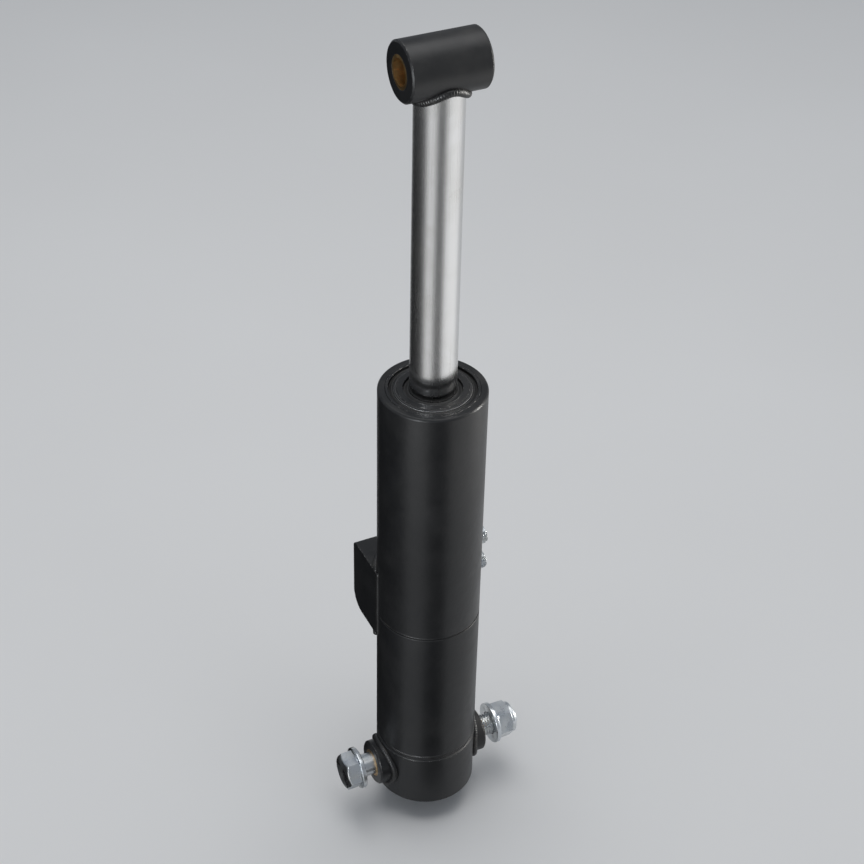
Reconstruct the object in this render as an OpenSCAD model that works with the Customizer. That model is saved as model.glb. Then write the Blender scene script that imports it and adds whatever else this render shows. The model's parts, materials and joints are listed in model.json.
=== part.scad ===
// Two-stage, double-acting telescopic hydraulic cylinder: a welded barrel, a double-walled
// sleeve that slides in it, and a chromed rod that slides in the sleeve.
// Origin: centre of the base pivot bolt. +Z runs up the cylinder to the rod eye, +X along the
// pivot bolt towards its nut, and +Y to the side that carries the port block.

/* [Stages] */
// Diameter of the piston rod
rod_d = 30; // [28:1:34]
// Wall of each stage's tube
wall = 5; // [5:0.5:6]
// Radial oil space between one stage and the next
oil_gap = 5; // [5:0.5:6]
// How far the sleeve stands out of the barrel
sleeve_out = 0; // [0:5:185]
// How far the rod stands out of its closed position in the sleeve
rod_out = 175; // [0:5:185]

/* [Barrel] */
// Height of the barrel's top face above the base pivot
barrel_top = 320; // [315:1:340]
// Height of the ring seam where the upper and lower tubes are welded
seam_z = 137; // [125:1:150]
// Height of the base cap's lower face, below the base pivot
base_low = -24; // [-30:1:-22]
// Length of the threaded head in the barrel's mouth
head_len = 45; // [45:1:50]

/* [Pivots] */
// Thread size of the base pivot bolt, also the bore size of all pivot bushes
bolt_d = 16; // [14:1:16]
// Outer diameter of the cross tube in the base
cross_tube_d = 32; // [30:1:33]
// Length of the cross tube, end to end
cross_tube_len = 84; // [84:1:92]
// Room for a bracket ear between the cross tube and a washer
ear_gap = 10; // [8:1:12]
// Outer diameter of the rod eye
eye_d = 36; // [34:1:40]
// Width of the rod eye
eye_w = 50; // [40:1:60]
// Height of the rod eye's centre above the barrel's top face when closed
eye_rise = 45; // [42:1:60]

/* [Port block] */
// Height of the block's lower face
block_low = 116; // [112:1:118]
// Height of the block's upper face
block_high = 171.5; // [170:0.5:180]
// How far the block stands out behind the barrel
block_stand = 11; // [11:0.5:14]
// Height of the extend port, which feeds the pipe to the base
extend_z = 130; // [130:0.5:131]
// Height of the retract port, which feeds the pipe to the head
retract_z = 153; // [153:0.5:158]

/* [Hidden] */
$fn = 72;
// Clearances: a loose gap between moving faces, and a running fit under seals and bushes
loose = 0.3;
run = 0.05;
// Overshoot of a cutting solid past the face that it cuts
cut = 1;

// Radii of the nested stages
rod_r = rod_d / 2;
sleeve_bore_r = rod_r + oil_gap;
sleeve_r = sleeve_bore_r + wall;
barrel_bore_r = sleeve_r + oil_gap;
barrel_r = barrel_bore_r + wall;
// The sleeve is two thin tubes with a 1 mm passage for the retract oil between them
skin = (wall - 1) / 2;
passage_in = sleeve_bore_r + skin;
passage_out = sleeve_r - skin;
transfer_r = 2;

// Heights in the closed cylinder
cap_joint = cross_tube_d / 2 + 6;
floor_z = cap_joint + 6;
sleeve_rest = floor_z + 10;
lip_top = sleeve_rest + 6;
head_low = barrel_top - head_len;
sleeve_piston_top = lip_top + 27;
sleeve_stroke = 185;
sleeve_nose_top = head_low - loose - sleeve_stroke;
sleeve_head_joint = head_low + 5;
sleeve_head_low = sleeve_head_joint - 8;
rod_stroke = 185;
rod_piston_low = lip_top + loose;
rod_piston_high = rod_piston_low + 30;
rod_shoulder = rod_piston_high - 8;
rod_nose_top = sleeve_head_low - loose - rod_stroke;
rod_stub_r = 9;
eye_z = barrel_top + eye_rise;

// Seal and ring grooves: how deep they go behind the sliding face
ring_depth = 2.3;
seal_depth = 3.3;
rod_seal_depth = 4;
piston_depth = 2.7;
bead = 3.5;
// Static O-rings: section radius, and the depth and half width of their grooves
o_ring_r = 0.85;
o_groove_depth = 1.8;
o_groove_half = 1;
// Threads of the grease nipples and the grub screw, and the play of screwed threads in their holes
nipple_r = 2.9;
lock_r = 3;
lock_play = 0.05;
port_play = 0.08;
// Space round a piston's nose for the oil that holds it back
nose_gap = 2;
// Edge broken on turned parts
edge = 1;

// Port positions: the pipes and bosses stand on one line behind the barrel
pipe_r = 5;
pipe_bore_r = 3;
pipe_at = barrel_r + pipe_r + 1;
pipe_turn = 70;
pipe_x = pipe_at * cos(pipe_turn);
pipe_y = pipe_at * sin(pipe_turn);
pipe_seat = 8;
drill_r = 2.5;
port_y = barrel_r;
port_r = 6.58;
port_depth = 12;
block_front = 8;
block_back = barrel_r + block_stand;
base_port_z = floor_z + 5;
head_port_z = head_low - 9;
boss_h = 20;
boss_w = 18;
boss_stand = 12.5;
lock_z = barrel_top - 14;

// Adapter along +X, from the block's side face
seal_t = 2;
adapter_hex = 19;
adapter_hex_end = barrel_r + seal_t + 9;
adapter_end = adapter_hex_end + 14;

// Base pivot kit along X
shank_r = bolt_d / 2;
bush_r = shank_r + 2;
tube_half = cross_tube_len / 2;
washer_in = tube_half + ear_gap;
washer_t = 3;
washer_r = 15;
nut_in = washer_in + washer_t;
hex_af = 1.5 * bolt_d;
head_h = 10;
nut_hex_h = 12;
nut_collar_h = 3;

PAINT = [0.035, 0.035, 0.04];
CHROME = [0.85, 0.86, 0.88];
ZINC = [0.72, 0.75, 0.78];
STEEL = [0.55, 0.56, 0.58];
BRONZE = [0.66, 0.47, 0.24];
RUBBER = [0.06, 0.06, 0.06];
SEAL = [0.16, 0.3, 0.26];
NYLON = [0.2, 0.35, 0.6];

// ---- shared shapes ----

// Turns a shape built along +Z so that it runs along +X or +Y
module along_x() { rotate([0, 90, 0]) children(); }
module along_y() { rotate([-90, 0, 0]) children(); }

module rod_shape(r, low, high) {
    translate([0, 0, low]) cylinder(r = r, h = high - low);
}

module ring(r_in, r_out, low, high) {
    difference() {
        rod_shape(r_out, low, high);
        rod_shape(r_in, low - cut, high + cut);
    }
}

// Tube with a chamfered outer edge at both ends
module chamfered_ring(r_in, r_out, low, high, edge) {
    rotate_extrude() polygon([
        [r_in, low], [r_out - edge, low], [r_out, low + edge],
        [r_out, high - edge], [r_out - edge, high], [r_in, high]
    ]);
}

// Bar with a chamfer at its upper end
module chamfered_bar(r, low, high, edge) {
    rotate_extrude() polygon([
        [0, low], [r, low], [r, high - edge], [r - edge, high], [0, high]
    ]);
}

// Hexagon with its corners turned off at the chosen ends
module hex(af, low, high, chamfer_low = false, chamfer_high = true) {
    corner = af / 2 / cos(30);
    drop = (corner - af / 2) * tan(30);
    intersection() {
        translate([0, 0, low]) rotate([0, 0, 30]) cylinder(r = corner, h = high - low, $fn = 6);
        rotate_extrude() polygon([
            [0, low], [chamfer_low ? af / 2 : corner, low], [corner, low + (chamfer_low ? drop : 0)],
            [corner, high - (chamfer_high ? drop : 0)], [chamfer_high ? af / 2 : corner, high],
            [0, high]
        ]);
    }
}

// U-shaped lip seal whose notch opens towards low
module lip_seal(r_in, r_out, low, high) {
    mid = (r_in + r_out) / 2;
    notch = (r_out - r_in) / 5;
    rotate_extrude() polygon([
        [r_in, low], [mid - notch, low], [mid, low + (high - low) / 2.5], [mid + notch, low],
        [r_out, low], [r_out, high], [r_in + 0.4, high], [r_in + 0.4, high - 1], [r_in, high - 2]
    ]);
}

// Wiper ring: a body in its groove and one thin lip that leans on the sliding face at the top
module wiper(r_in, r_out, low, high) {
    rotate_extrude() polygon([
        [r_in + 1, low], [r_out, low], [r_out, high - 1.5], [r_in + 2.2, high - 1.5],
        [r_in + 0.7, high], [r_in, high - 0.6], [r_in + 1, high - 4]
    ]);
}

// Two-way piston seal, notched in the middle of its running face
module piston_seal(r_in, r_out, low, high) {
    mid = (low + high) / 2;
    rotate_extrude() polygon([
        [r_in, low], [r_out, low], [r_out, mid - 1.2], [r_out - 0.8, mid],
        [r_out, mid + 1.2], [r_out, high], [r_in, high]
    ]);
}

// O-ring in its groove in a face of radius r, and that groove as a cutting solid
module o_ring(r, at_z) {
    translate([0, 0, at_z]) rotate_extrude() translate([r - o_groove_depth / 2, 0]) circle(r = o_ring_r);
}
module o_ring_groove(r, at_z) {
    ring(r - o_groove_depth, r + cut, at_z - o_groove_half, at_z + o_groove_half);
}

// Grease nipple along +Z whose thread ends at zero and whose hexagon sits on the face
module grease_nipple(thread_l) {
    rod_shape(nipple_r, -thread_l, cut);
    hex(8, 0, 3, true, true);
    rotate_extrude() polygon([
        [0, 2], [2.3, 2], [2.3, 4.4], [1.7, 5.2], [1.7, 6], [2.9, 7.2], [2.9, 8.2], [1.6, 9.4], [0, 9.4]
    ]);
}

// Four radial holes through a tube's wall
module cross_holes(r, at_z, r_in, r_out) {
    for (turn = [0 : 90 : 270])
        rotate([0, 0, turn + 30]) translate([0, 0, at_z]) along_x()
            rod_shape(r, r_in - cut, r_out + cut);
}

module in_sleeve() { translate([0, 0, sleeve_out]) children(); }
module in_rod() { translate([0, 0, sleeve_out + rod_out]) children(); }

// ---- base and barrel ----

// Width and root depth of the weld grooves
groove_half = 2.5;
seam_half = 1;
groove_root = barrel_r - 3.5;

module base_cap() {
    stop_in = rod_stub_r * 2;
    stop_out = stop_in + 4;
    slot = 8;
    color(PAINT) difference() {
        union() {
            rotate_extrude() polygon([
                [0, base_low], [barrel_r - 2, base_low], [barrel_r, base_low + 2],
                [barrel_r, cap_joint - groove_half], [groove_root, cap_joint],
                [barrel_bore_r, cap_joint], [barrel_bore_r, floor_z], [0, floor_z]
            ]);
            // Slotted ring that the closed sleeve rests on
            difference() {
                ring(stop_in, stop_out, floor_z, sleeve_rest - loose);
                for (turn = [0, 90])
                    rotate([0, 0, turn]) translate([-barrel_r, -slot / 2, floor_z])
                        cube([2 * barrel_r, slot, slot]);
            }
        }
        along_x() rod_shape(cross_tube_d / 2, -barrel_r - cut, barrel_r + cut);
        along_y() rod_shape(nipple_r, 0, barrel_r + cut);
    }
}

module radial_drill(at_z, from_r, to_r) {
    rotate([0, 0, pipe_turn]) translate([0, 0, at_z]) along_x() rod_shape(drill_r, from_r, to_r);
}

module base_tube() {
    color(PAINT) difference() {
        rotate_extrude() polygon([
            [barrel_bore_r, cap_joint], [groove_root, cap_joint],
            [barrel_r, cap_joint + groove_half], [barrel_r, seam_z - seam_half],
            [groove_root, seam_z], [barrel_bore_r, seam_z]
        ]);
        radial_drill(base_port_z, barrel_bore_r - cut, barrel_r + cut);
    }
}

module barrel_tube() {
    mouth_edge = 1.2;
    color(PAINT) difference() {
        rotate_extrude() polygon([
            [barrel_bore_r, seam_z], [groove_root, seam_z], [barrel_r, seam_z + seam_half],
            [barrel_r, barrel_top - mouth_edge], [barrel_r - mouth_edge, barrel_top],
            [barrel_bore_r, barrel_top]
        ]);
        radial_drill(head_port_z, barrel_bore_r - cut, barrel_r + cut);
        translate([0, 0, lock_z]) along_y() rod_shape(lock_r, barrel_bore_r - cut, barrel_r + cut);
    }
}

module weld_ring(at_z, half, crown) {
    rotate_extrude() polygon([
        [groove_root, at_z], [crown, at_z - half * (crown - groove_root) / (barrel_r - groove_root)],
        [crown, at_z + half * (crown - groove_root) / (barrel_r - groove_root)]
    ]);
}

module base_weld() { color(PAINT) weld_ring(cap_joint, groove_half, barrel_r - 0.2); }

module seam_weld() { color(PAINT) weld_ring(seam_z, seam_half, barrel_r - 0.4); }

module pivot_tube() {
    color(PAINT) difference() {
        along_x() chamfered_ring(bush_r, cross_tube_d / 2, -tube_half, tube_half, edge);
        along_y() rod_shape(2, 0, cross_tube_d);
    }
}

// Bead that follows the saddle line between the cross tube and the round base
module pivot_tube_welds() {
    color(PAINT) for (side = [-1, 1]) intersection() {
        along_x() ring(cross_tube_d / 2, cross_tube_d / 2 + bead, -barrel_r - bead, barrel_r + bead);
        ring(barrel_r, barrel_r + bead, base_low, cap_joint);
        translate([side * barrel_r, 0, 0]) cube([barrel_r, cross_tube_len, cross_tube_len], center = true);
    }
}

module pivot_bushes() {
    bush_len = 30;
    color(BRONZE) for (end = [-1, 1])
        along_x() ring(shank_r + run, bush_r, end > 0 ? tube_half - bush_len : -tube_half,
                       end > 0 ? tube_half : bush_len - tube_half);
}

module base_grease_nipple() {
    color(ZINC) translate([0, barrel_r, 0]) along_y() grease_nipple(10);
}

// ---- head in the barrel's mouth ----

guide_z = head_low + 4;
guide_h = 10;
static_z = guide_z + guide_h + 2.5;
seal_z = static_z + 2.5;
seal_h = 7;
wiper_z = barrel_top - 8.5;

module barrel_head() {
    color(PAINT) difference() {
        ring(sleeve_r + loose, barrel_bore_r, head_low, barrel_top);
        ring(sleeve_r, sleeve_r + ring_depth, guide_z, guide_z + guide_h);
        ring(sleeve_r, sleeve_r + seal_depth, seal_z, seal_z + seal_h);
        ring(sleeve_r, sleeve_r + seal_depth, wiper_z, barrel_top + cut);
        o_ring_groove(barrel_bore_r, static_z);
        translate([0, 0, lock_z]) along_y() rod_shape(lock_r, sleeve_r + lock_r / 2, barrel_r);
    }
}

module head_wiper() {
    color(RUBBER) wiper(sleeve_r + run, sleeve_r + seal_depth, wiper_z, barrel_top - 0.6);
}

module head_sleeve_seal() {
    color(SEAL) lip_seal(sleeve_r + run, sleeve_r + seal_depth, seal_z, seal_z + seal_h);
}

module head_guide_ring() {
    color(BRONZE) ring(sleeve_r + run, sleeve_r + ring_depth, guide_z, guide_z + guide_h);
}

module head_o_ring() { color(RUBBER) o_ring(barrel_bore_r, static_z); }

module head_lock_screw() {
    tip = sleeve_r + lock_r / 2 + loose;
    face = barrel_r - 0.8;
    key_af = 3;
    socket = 3;
    color(ZINC) translate([0, 0, lock_z]) along_y() difference() {
        rod_shape(lock_r - lock_play, tip, face);
        translate([0, 0, face - socket]) cylinder(d = key_af / cos(30), h = socket + cut, $fn = 6);
    }
}

// ---- ports and pipes ----

module port_block() {
    back_low_r = 13;
    back_high_r = 4;
    color(PAINT) difference() {
        translate([-barrel_r, 0, 0]) rotate([90, 0, 90]) linear_extrude(2 * barrel_r) union() {
            translate([block_front, block_low + back_low_r])
                square([block_back - block_front, block_high - back_high_r - block_low - back_low_r]);
            translate([block_front, block_low])
                square([block_back - back_low_r - block_front, back_low_r + cut]);
            translate([block_front, block_high - back_high_r - cut])
                square([block_back - back_high_r - block_front, back_high_r + cut]);
            translate([block_back - back_low_r, block_low + back_low_r]) circle(r = back_low_r);
            translate([block_back - back_high_r, block_high - back_high_r]) circle(r = back_high_r);
        }
        rod_shape(barrel_r, block_low - cut, block_high + cut);
        for (z = [extend_z, retract_z]) translate([0, port_y, z]) along_x() {
            rod_shape(port_r, barrel_r - port_depth, barrel_r + cut);
            rod_shape(drill_r, pipe_x, barrel_r);
        }
        translate([pipe_x, pipe_y, 0]) {
            rod_shape(drill_r, block_low - cut, extend_z);
            rod_shape(pipe_r, block_low - cut, block_low + pipe_seat);
            rod_shape(drill_r, retract_z, block_high + cut);
            rod_shape(pipe_r, block_high - pipe_seat, block_high + cut);
        }
    }
}

// Beads down both front edges of the block, and over and under it against the barrel
module port_block_weld() {
    side_r = 2.2;
    color(PAINT) {
        for (side = [-1, 1]) difference() {
            translate([side * (barrel_r - 0.8), block_front - 1, 0])
                rod_shape(side_r, block_low, block_high);
            rod_shape(barrel_r, block_low - cut, block_high + cut);
            translate([-2 * barrel_r, block_front, block_low - cut])
                cube([4 * barrel_r, block_back, block_high - block_low + 2 * cut]);
        }
        intersection() {
            union() {
                rotate_extrude() polygon([
                    [barrel_r, block_high], [barrel_r + bead, block_high], [barrel_r, block_high + bead]
                ]);
                rotate_extrude() polygon([
                    [barrel_r, block_low], [barrel_r, block_low - bead], [barrel_r + bead, block_low]
                ]);
            }
            difference() {
                translate([-barrel_r, block_front, block_low - bead])
                    cube([2 * barrel_r, block_back - block_front, block_high - block_low + 2 * bead]);
                translate([pipe_x, pipe_y, 0])
                    rod_shape(pipe_r + loose, block_low - 2 * bead, block_high + 2 * bead);
            }
        }
    }
}

module adapter(at_z) {
    neck_r = port_r - 1.2;
    neck_l = 2;
    cone_l = 2.6;
    cone_r = pipe_bore_r + 2;
    color(ZINC) translate([0, port_y, at_z]) along_x() difference() {
        union() {
            chamfered_ring(0, port_r - port_play, barrel_r - port_depth + edge,
                           barrel_r + seal_t + edge, edge);
            hex(adapter_hex, barrel_r + seal_t, adapter_hex_end, true, true);
            rod_shape(neck_r, adapter_hex_end - cut, adapter_hex_end + neck_l + cut);
            chamfered_bar(port_r, adapter_hex_end + neck_l, adapter_end, edge);
        }
        rod_shape(pipe_bore_r, barrel_r - port_depth, adapter_end + cut);
        rotate_extrude() polygon([[0, adapter_end - cone_l], [pipe_bore_r, adapter_end - cone_l],
                                  [cone_r, adapter_end], [0, adapter_end]]);
    }
}

module extend_adapter() { adapter(extend_z); }

module retract_adapter() { adapter(retract_z); }

module adapter_seals() {
    color(STEEL) for (z = [extend_z, retract_z])
        translate([0, port_y, z]) along_x() ring(port_r + 0.05, 10.2, barrel_r, barrel_r + seal_t);
}

module pipe(low, high) {
    color(PAINT) translate([pipe_x, pipe_y, 0]) ring(pipe_bore_r, pipe_r, low, high);
}

module extend_pipe() { pipe(base_port_z + boss_h / 2 - pipe_seat, block_low + pipe_seat); }

module retract_pipe() { pipe(block_high - pipe_seat, head_port_z - boss_h / 2 + pipe_seat); }

// Welded boss that turns a pipe's oil into the barrel; pipe_side is 1 above and -1 below
module port_boss(at_z, pipe_side) {
    color(PAINT) difference() {
        rotate([0, 0, pipe_turn]) intersection() {
            translate([0, -boss_w / 2, at_z - boss_h / 2])
                cube([barrel_r + boss_stand, boss_w, boss_h]);
            rod_shape(barrel_r + boss_stand, at_z - boss_h, at_z + boss_h);
        }
        rod_shape(barrel_r, at_z - boss_h, at_z + boss_h);
        radial_drill(at_z, barrel_r - cut, pipe_at);
        translate([pipe_x, pipe_y, at_z]) mirror([0, 0, pipe_side > 0 ? 0 : 1]) {
            rod_shape(pipe_bore_r, 0, boss_h);
            rod_shape(pipe_r, boss_h / 2 - pipe_seat, boss_h);
        }
    }
}

module base_port_boss() { port_boss(base_port_z, 1); }

module head_port_boss() { port_boss(head_port_z, -1); }

// ---- sleeve, the first moving stage ----

module sleeve_outer_tube() {
    mouth_edge = 0.8;
    color(CHROME) in_sleeve() difference() {
        rotate_extrude() polygon([
            [passage_out, lip_top], [sleeve_r, lip_top], [sleeve_r, barrel_top - mouth_edge],
            [sleeve_r - mouth_edge, barrel_top], [passage_out, barrel_top]
        ]);
        cross_holes(transfer_r, sleeve_nose_top + 6, passage_out, sleeve_r);
    }
}

module sleeve_inner_tube() {
    color(STEEL) in_sleeve() difference() {
        ring(sleeve_bore_r, passage_in, lip_top, sleeve_head_joint);
        cross_holes(transfer_r, sleeve_head_low - 8, sleeve_bore_r, passage_in);
    }
}

seal_low = lip_top + 7;
seal_high = seal_low + 8;
wear_h = 6;

module sleeve_piston() {
    face_r = barrel_bore_r - loose;
    groove_r = barrel_bore_r - loose - piston_depth;
    color(STEEL) in_sleeve() difference() {
        union() {
            rotate_extrude() polygon([
                [sleeve_bore_r - 3, sleeve_rest], [face_r - 2, sleeve_rest], [face_r, sleeve_rest + 2],
                [face_r, sleeve_piston_top], [barrel_bore_r - nose_gap, sleeve_piston_top],
                [barrel_bore_r - nose_gap, sleeve_nose_top], [sleeve_r, sleeve_nose_top],
                [sleeve_r, lip_top], [sleeve_bore_r - 3, lip_top]
            ]);
            // Collar that centres the two tubes and closes the passage between them
            ring(passage_in, passage_out, lip_top - cut, lip_top + 6);
        }
        ring(groove_r, barrel_r, seal_low, seal_high);
        for (z = [lip_top - 2, seal_high + 3]) ring(groove_r, barrel_r, z, z + wear_h);
    }
}

module sleeve_piston_seal() {
    color(SEAL) in_sleeve()
        piston_seal(barrel_bore_r - loose - piston_depth, barrel_bore_r - run, seal_low, seal_high);
}

module sleeve_wear_rings() {
    color(BRONZE) in_sleeve() for (z = [lip_top - 2, seal_high + 3])
        ring(barrel_bore_r - loose - piston_depth, barrel_bore_r - run, z, z + wear_h);
}

sleeve_guide_z = sleeve_head_joint + 4;
sleeve_guide_h = 8;
sleeve_seal_z = sleeve_guide_z + sleeve_guide_h + 5;
sleeve_static_z = sleeve_seal_z + seal_h + 3;
spigot_static_z = sleeve_head_low + 4;
sleeve_wiper_z = barrel_top - 8.5;

module sleeve_head() {
    color(PAINT) in_sleeve() difference() {
        union() {
            ring(rod_r + loose, passage_out, sleeve_head_joint, barrel_top);
            ring(rod_r + loose, sleeve_bore_r, sleeve_head_low, sleeve_head_joint + cut);
            ring(passage_in, passage_out, sleeve_head_joint - 6, sleeve_head_joint + cut);
        }
        ring(rod_r, rod_r + ring_depth, sleeve_guide_z, sleeve_guide_z + sleeve_guide_h);
        ring(rod_r, rod_r + rod_seal_depth, sleeve_seal_z, sleeve_seal_z + seal_h);
        ring(rod_r, rod_r + rod_seal_depth, sleeve_wiper_z, barrel_top + cut);
        o_ring_groove(passage_out, sleeve_static_z);
        o_ring_groove(sleeve_bore_r, spigot_static_z);
    }
}

module sleeve_wiper() {
    color(RUBBER) in_sleeve()
        wiper(rod_r + run, rod_r + rod_seal_depth, sleeve_wiper_z, barrel_top - 0.6);
}

module sleeve_rod_seal() {
    color(SEAL) in_sleeve()
        lip_seal(rod_r + run, rod_r + rod_seal_depth, sleeve_seal_z, sleeve_seal_z + seal_h);
}

module sleeve_guide_ring() {
    color(BRONZE) in_sleeve() ring(rod_r + run, rod_r + ring_depth, sleeve_guide_z,
                                   sleeve_guide_z + sleeve_guide_h);
}

module sleeve_o_rings() {
    color(RUBBER) in_sleeve() {
        o_ring(passage_out, sleeve_static_z);
        o_ring(sleeve_bore_r, spigot_static_z);
    }
}

// ---- rod, the second moving stage ----

rod_nut_h = 10;
rod_nut_af = 27;
rod_seal_low = rod_piston_low + 13;
rod_seal_high = rod_seal_low + 8;
rod_wear_z = rod_piston_low + 3;

module rod() {
    stub_end = rod_piston_low - rod_nut_h - 2;
    color(CHROME) in_rod() difference() {
        rotate_extrude() polygon([
            [0, stub_end], [rod_stub_r - 1, stub_end], [rod_stub_r, stub_end + 1],
            [rod_stub_r, rod_shoulder], [rod_r, rod_shoulder], [rod_r, eye_z], [0, eye_z]
        ]);
        translate([0, 0, eye_z]) along_x() rod_shape(eye_d / 2, -rod_d, rod_d);
    }
}

module rod_piston() {
    face_r = sleeve_bore_r - loose;
    groove_r = face_r - piston_depth;
    color(STEEL) in_rod() difference() {
        rotate_extrude() polygon([
            [rod_stub_r, rod_piston_low], [face_r - 1, rod_piston_low], [face_r, rod_piston_low + 1],
            [face_r, rod_piston_high], [sleeve_bore_r - nose_gap, rod_piston_high],
            [sleeve_bore_r - nose_gap, rod_nose_top],
            [rod_r, rod_nose_top], [rod_r, rod_shoulder], [rod_stub_r, rod_shoulder]
        ]);
        ring(groove_r, barrel_r, rod_seal_low, rod_seal_high);
        ring(groove_r, barrel_r, rod_wear_z, rod_wear_z + wear_h);
    }
}

module rod_piston_seal() {
    color(SEAL) in_rod()
        piston_seal(sleeve_bore_r - loose - piston_depth, sleeve_bore_r - run, rod_seal_low,
                    rod_seal_high);
}

module rod_wear_ring() {
    color(BRONZE) in_rod()
        ring(sleeve_bore_r - loose - piston_depth, sleeve_bore_r - run, rod_wear_z,
             rod_wear_z + wear_h);
}

module rod_piston_nut() {
    color(STEEL) in_rod() difference() {
        hex(rod_nut_af, rod_piston_low - rod_nut_h, rod_piston_low, true, false);
        rod_shape(rod_stub_r, rod_piston_low - rod_nut_h - cut, rod_piston_low + cut);
    }
}

module rod_eye() {
    color(PAINT) in_rod() translate([0, 0, eye_z]) difference() {
        along_x() chamfered_ring(bush_r, eye_d / 2, -eye_w / 2, eye_w / 2, edge);
        along_y() rod_shape(nipple_r, 0, eye_d);
    }
}

module rod_eye_bush() {
    color(BRONZE) in_rod() translate([0, 0, eye_z]) difference() {
        along_x() ring(shank_r + run, bush_r, -eye_w / 2, eye_w / 2);
        along_y() rod_shape(1.5, 0, eye_d);
    }
}

// Bead that follows the saddle line between the rod and its eye
module rod_eye_weld() {
    color(PAINT) in_rod() intersection() {
        ring(rod_r, rod_r + bead, eye_z - eye_d, eye_z - eye_d / 6);
        translate([0, 0, eye_z]) along_x() ring(eye_d / 2, eye_d / 2 + bead, -eye_w / 2, eye_w / 2);
    }
}

module rod_grease_nipple() {
    color(ZINC) in_rod() translate([0, eye_d / 2, eye_z]) along_y() grease_nipple(6);
}

// ---- base pivot kit ----

module pivot_bolt() {
    color(ZINC) along_x() union() {
        hex(hex_af, -nut_in - head_h, -nut_in, true, false);
        chamfered_bar(shank_r, -nut_in - cut, nut_in + nut_hex_h + nut_collar_h + 2, 1.5);
    }
}

module pivot_washers() {
    color(ZINC) for (side = [-1, 1])
        along_x() ring(shank_r + 0.5, washer_r, side > 0 ? washer_in : -nut_in,
                       side > 0 ? nut_in : -washer_in);
}

insert_out = shank_r + 1.6;

module pivot_nut() {
    collar_end = nut_in + nut_hex_h + nut_collar_h;
    color(ZINC) along_x() difference() {
        union() {
            hex(hex_af, nut_in, nut_in + nut_hex_h, true, true);
            chamfered_ring(0, hex_af / 2 - 0.6, nut_in + edge, collar_end, edge);
        }
        rod_shape(shank_r, nut_in - cut, collar_end + cut);
        rod_shape(insert_out, nut_in + nut_hex_h, collar_end - 0.5);
    }
}

module pivot_nut_insert() {
    color(NYLON) along_x()
        ring(shank_r, insert_out, nut_in + nut_hex_h, nut_in + nut_hex_h + nut_collar_h - 0.5);
}

base_cap();
base_tube();
barrel_tube();
base_weld();
seam_weld();
pivot_tube();
pivot_tube_welds();
pivot_bushes();
base_grease_nipple();
barrel_head();
head_wiper();
head_sleeve_seal();
head_guide_ring();
head_o_ring();
head_lock_screw();
port_block();
port_block_weld();
extend_adapter();
retract_adapter();
adapter_seals();
extend_pipe();
retract_pipe();
base_port_boss();
head_port_boss();
sleeve_outer_tube();
sleeve_inner_tube();
sleeve_piston();
sleeve_piston_seal();
sleeve_wear_rings();
sleeve_head();
sleeve_wiper();
sleeve_rod_seal();
sleeve_guide_ring();
sleeve_o_rings();
rod();
rod_piston();
rod_piston_seal();
rod_wear_ring();
rod_piston_nut();
rod_eye();
rod_eye_bush();
rod_eye_weld();
rod_grease_nipple();
pivot_bolt();
pivot_washers();
pivot_nut();
pivot_nut_insert();
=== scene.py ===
"""Looks for the telescopic hydraulic cylinder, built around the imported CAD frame."""

import json
import math

import bpy
from mathutils import Matrix, Vector


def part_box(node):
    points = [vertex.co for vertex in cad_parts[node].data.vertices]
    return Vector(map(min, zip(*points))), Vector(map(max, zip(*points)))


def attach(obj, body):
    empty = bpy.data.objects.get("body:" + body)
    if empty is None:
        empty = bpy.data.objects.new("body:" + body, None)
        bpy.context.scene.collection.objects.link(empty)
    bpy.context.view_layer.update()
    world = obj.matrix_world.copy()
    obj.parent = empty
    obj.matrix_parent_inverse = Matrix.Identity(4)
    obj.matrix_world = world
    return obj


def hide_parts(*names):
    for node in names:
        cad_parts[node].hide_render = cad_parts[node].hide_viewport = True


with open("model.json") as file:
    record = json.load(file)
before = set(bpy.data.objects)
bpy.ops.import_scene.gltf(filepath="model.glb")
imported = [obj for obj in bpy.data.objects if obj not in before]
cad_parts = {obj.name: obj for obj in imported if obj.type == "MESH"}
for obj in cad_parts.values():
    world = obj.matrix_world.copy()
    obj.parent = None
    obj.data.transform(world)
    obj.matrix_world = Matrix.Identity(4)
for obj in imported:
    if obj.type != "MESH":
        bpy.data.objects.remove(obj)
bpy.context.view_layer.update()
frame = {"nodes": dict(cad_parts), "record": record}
NODES = frame["nodes"]
MM = 0.001

# ---- places and sizes, read from the CAD frame (metres) ----


def low(node, axis):
    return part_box(node)[0][axis]


def high(node, axis):
    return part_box(node)[1][axis]


X, Y, Z = 0, 1, 2
BARREL_R = high("barrel_tube", X)
BARREL_TOP = high("barrel_tube", Z)
SEAM_Z = low("barrel_tube", Z)
BORE_R = high("barrel_head", X)
BASE_LOW = low("base_cap", Z)
BASE_JOINT = low("base_tube", Z)
SLEEVE_R = high("sleeve_outer_tube", X)
SLEEVE_LOW = low("sleeve_outer_tube", Z)
SLEEVE_TOP = high("sleeve_outer_tube", Z)
SLEEVE_BORE_R = high("sleeve_head", X)
ROD_R = high("rod", X)
EYE_LOW, EYE_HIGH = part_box("rod_eye")
EYE_R = EYE_HIGH.y
EYE_Z = (EYE_LOW.z + EYE_HIGH.z) / 2
TUBE_R = high("pivot_tube", Y)
BLOCK_LOW, BLOCK_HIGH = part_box("port_block")
PORT_Y = (low("extend_adapter", Y) + high("extend_adapter", Y)) / 2
PORT_Z = {
    name: (low(name, Z) + high(name, Z)) / 2 for name in ("extend_adapter", "retract_adapter")
}
WASHER_R = high("pivot_washers", Z)

# ---- sizes that the boxes of the CAD nodes don't show ----

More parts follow.
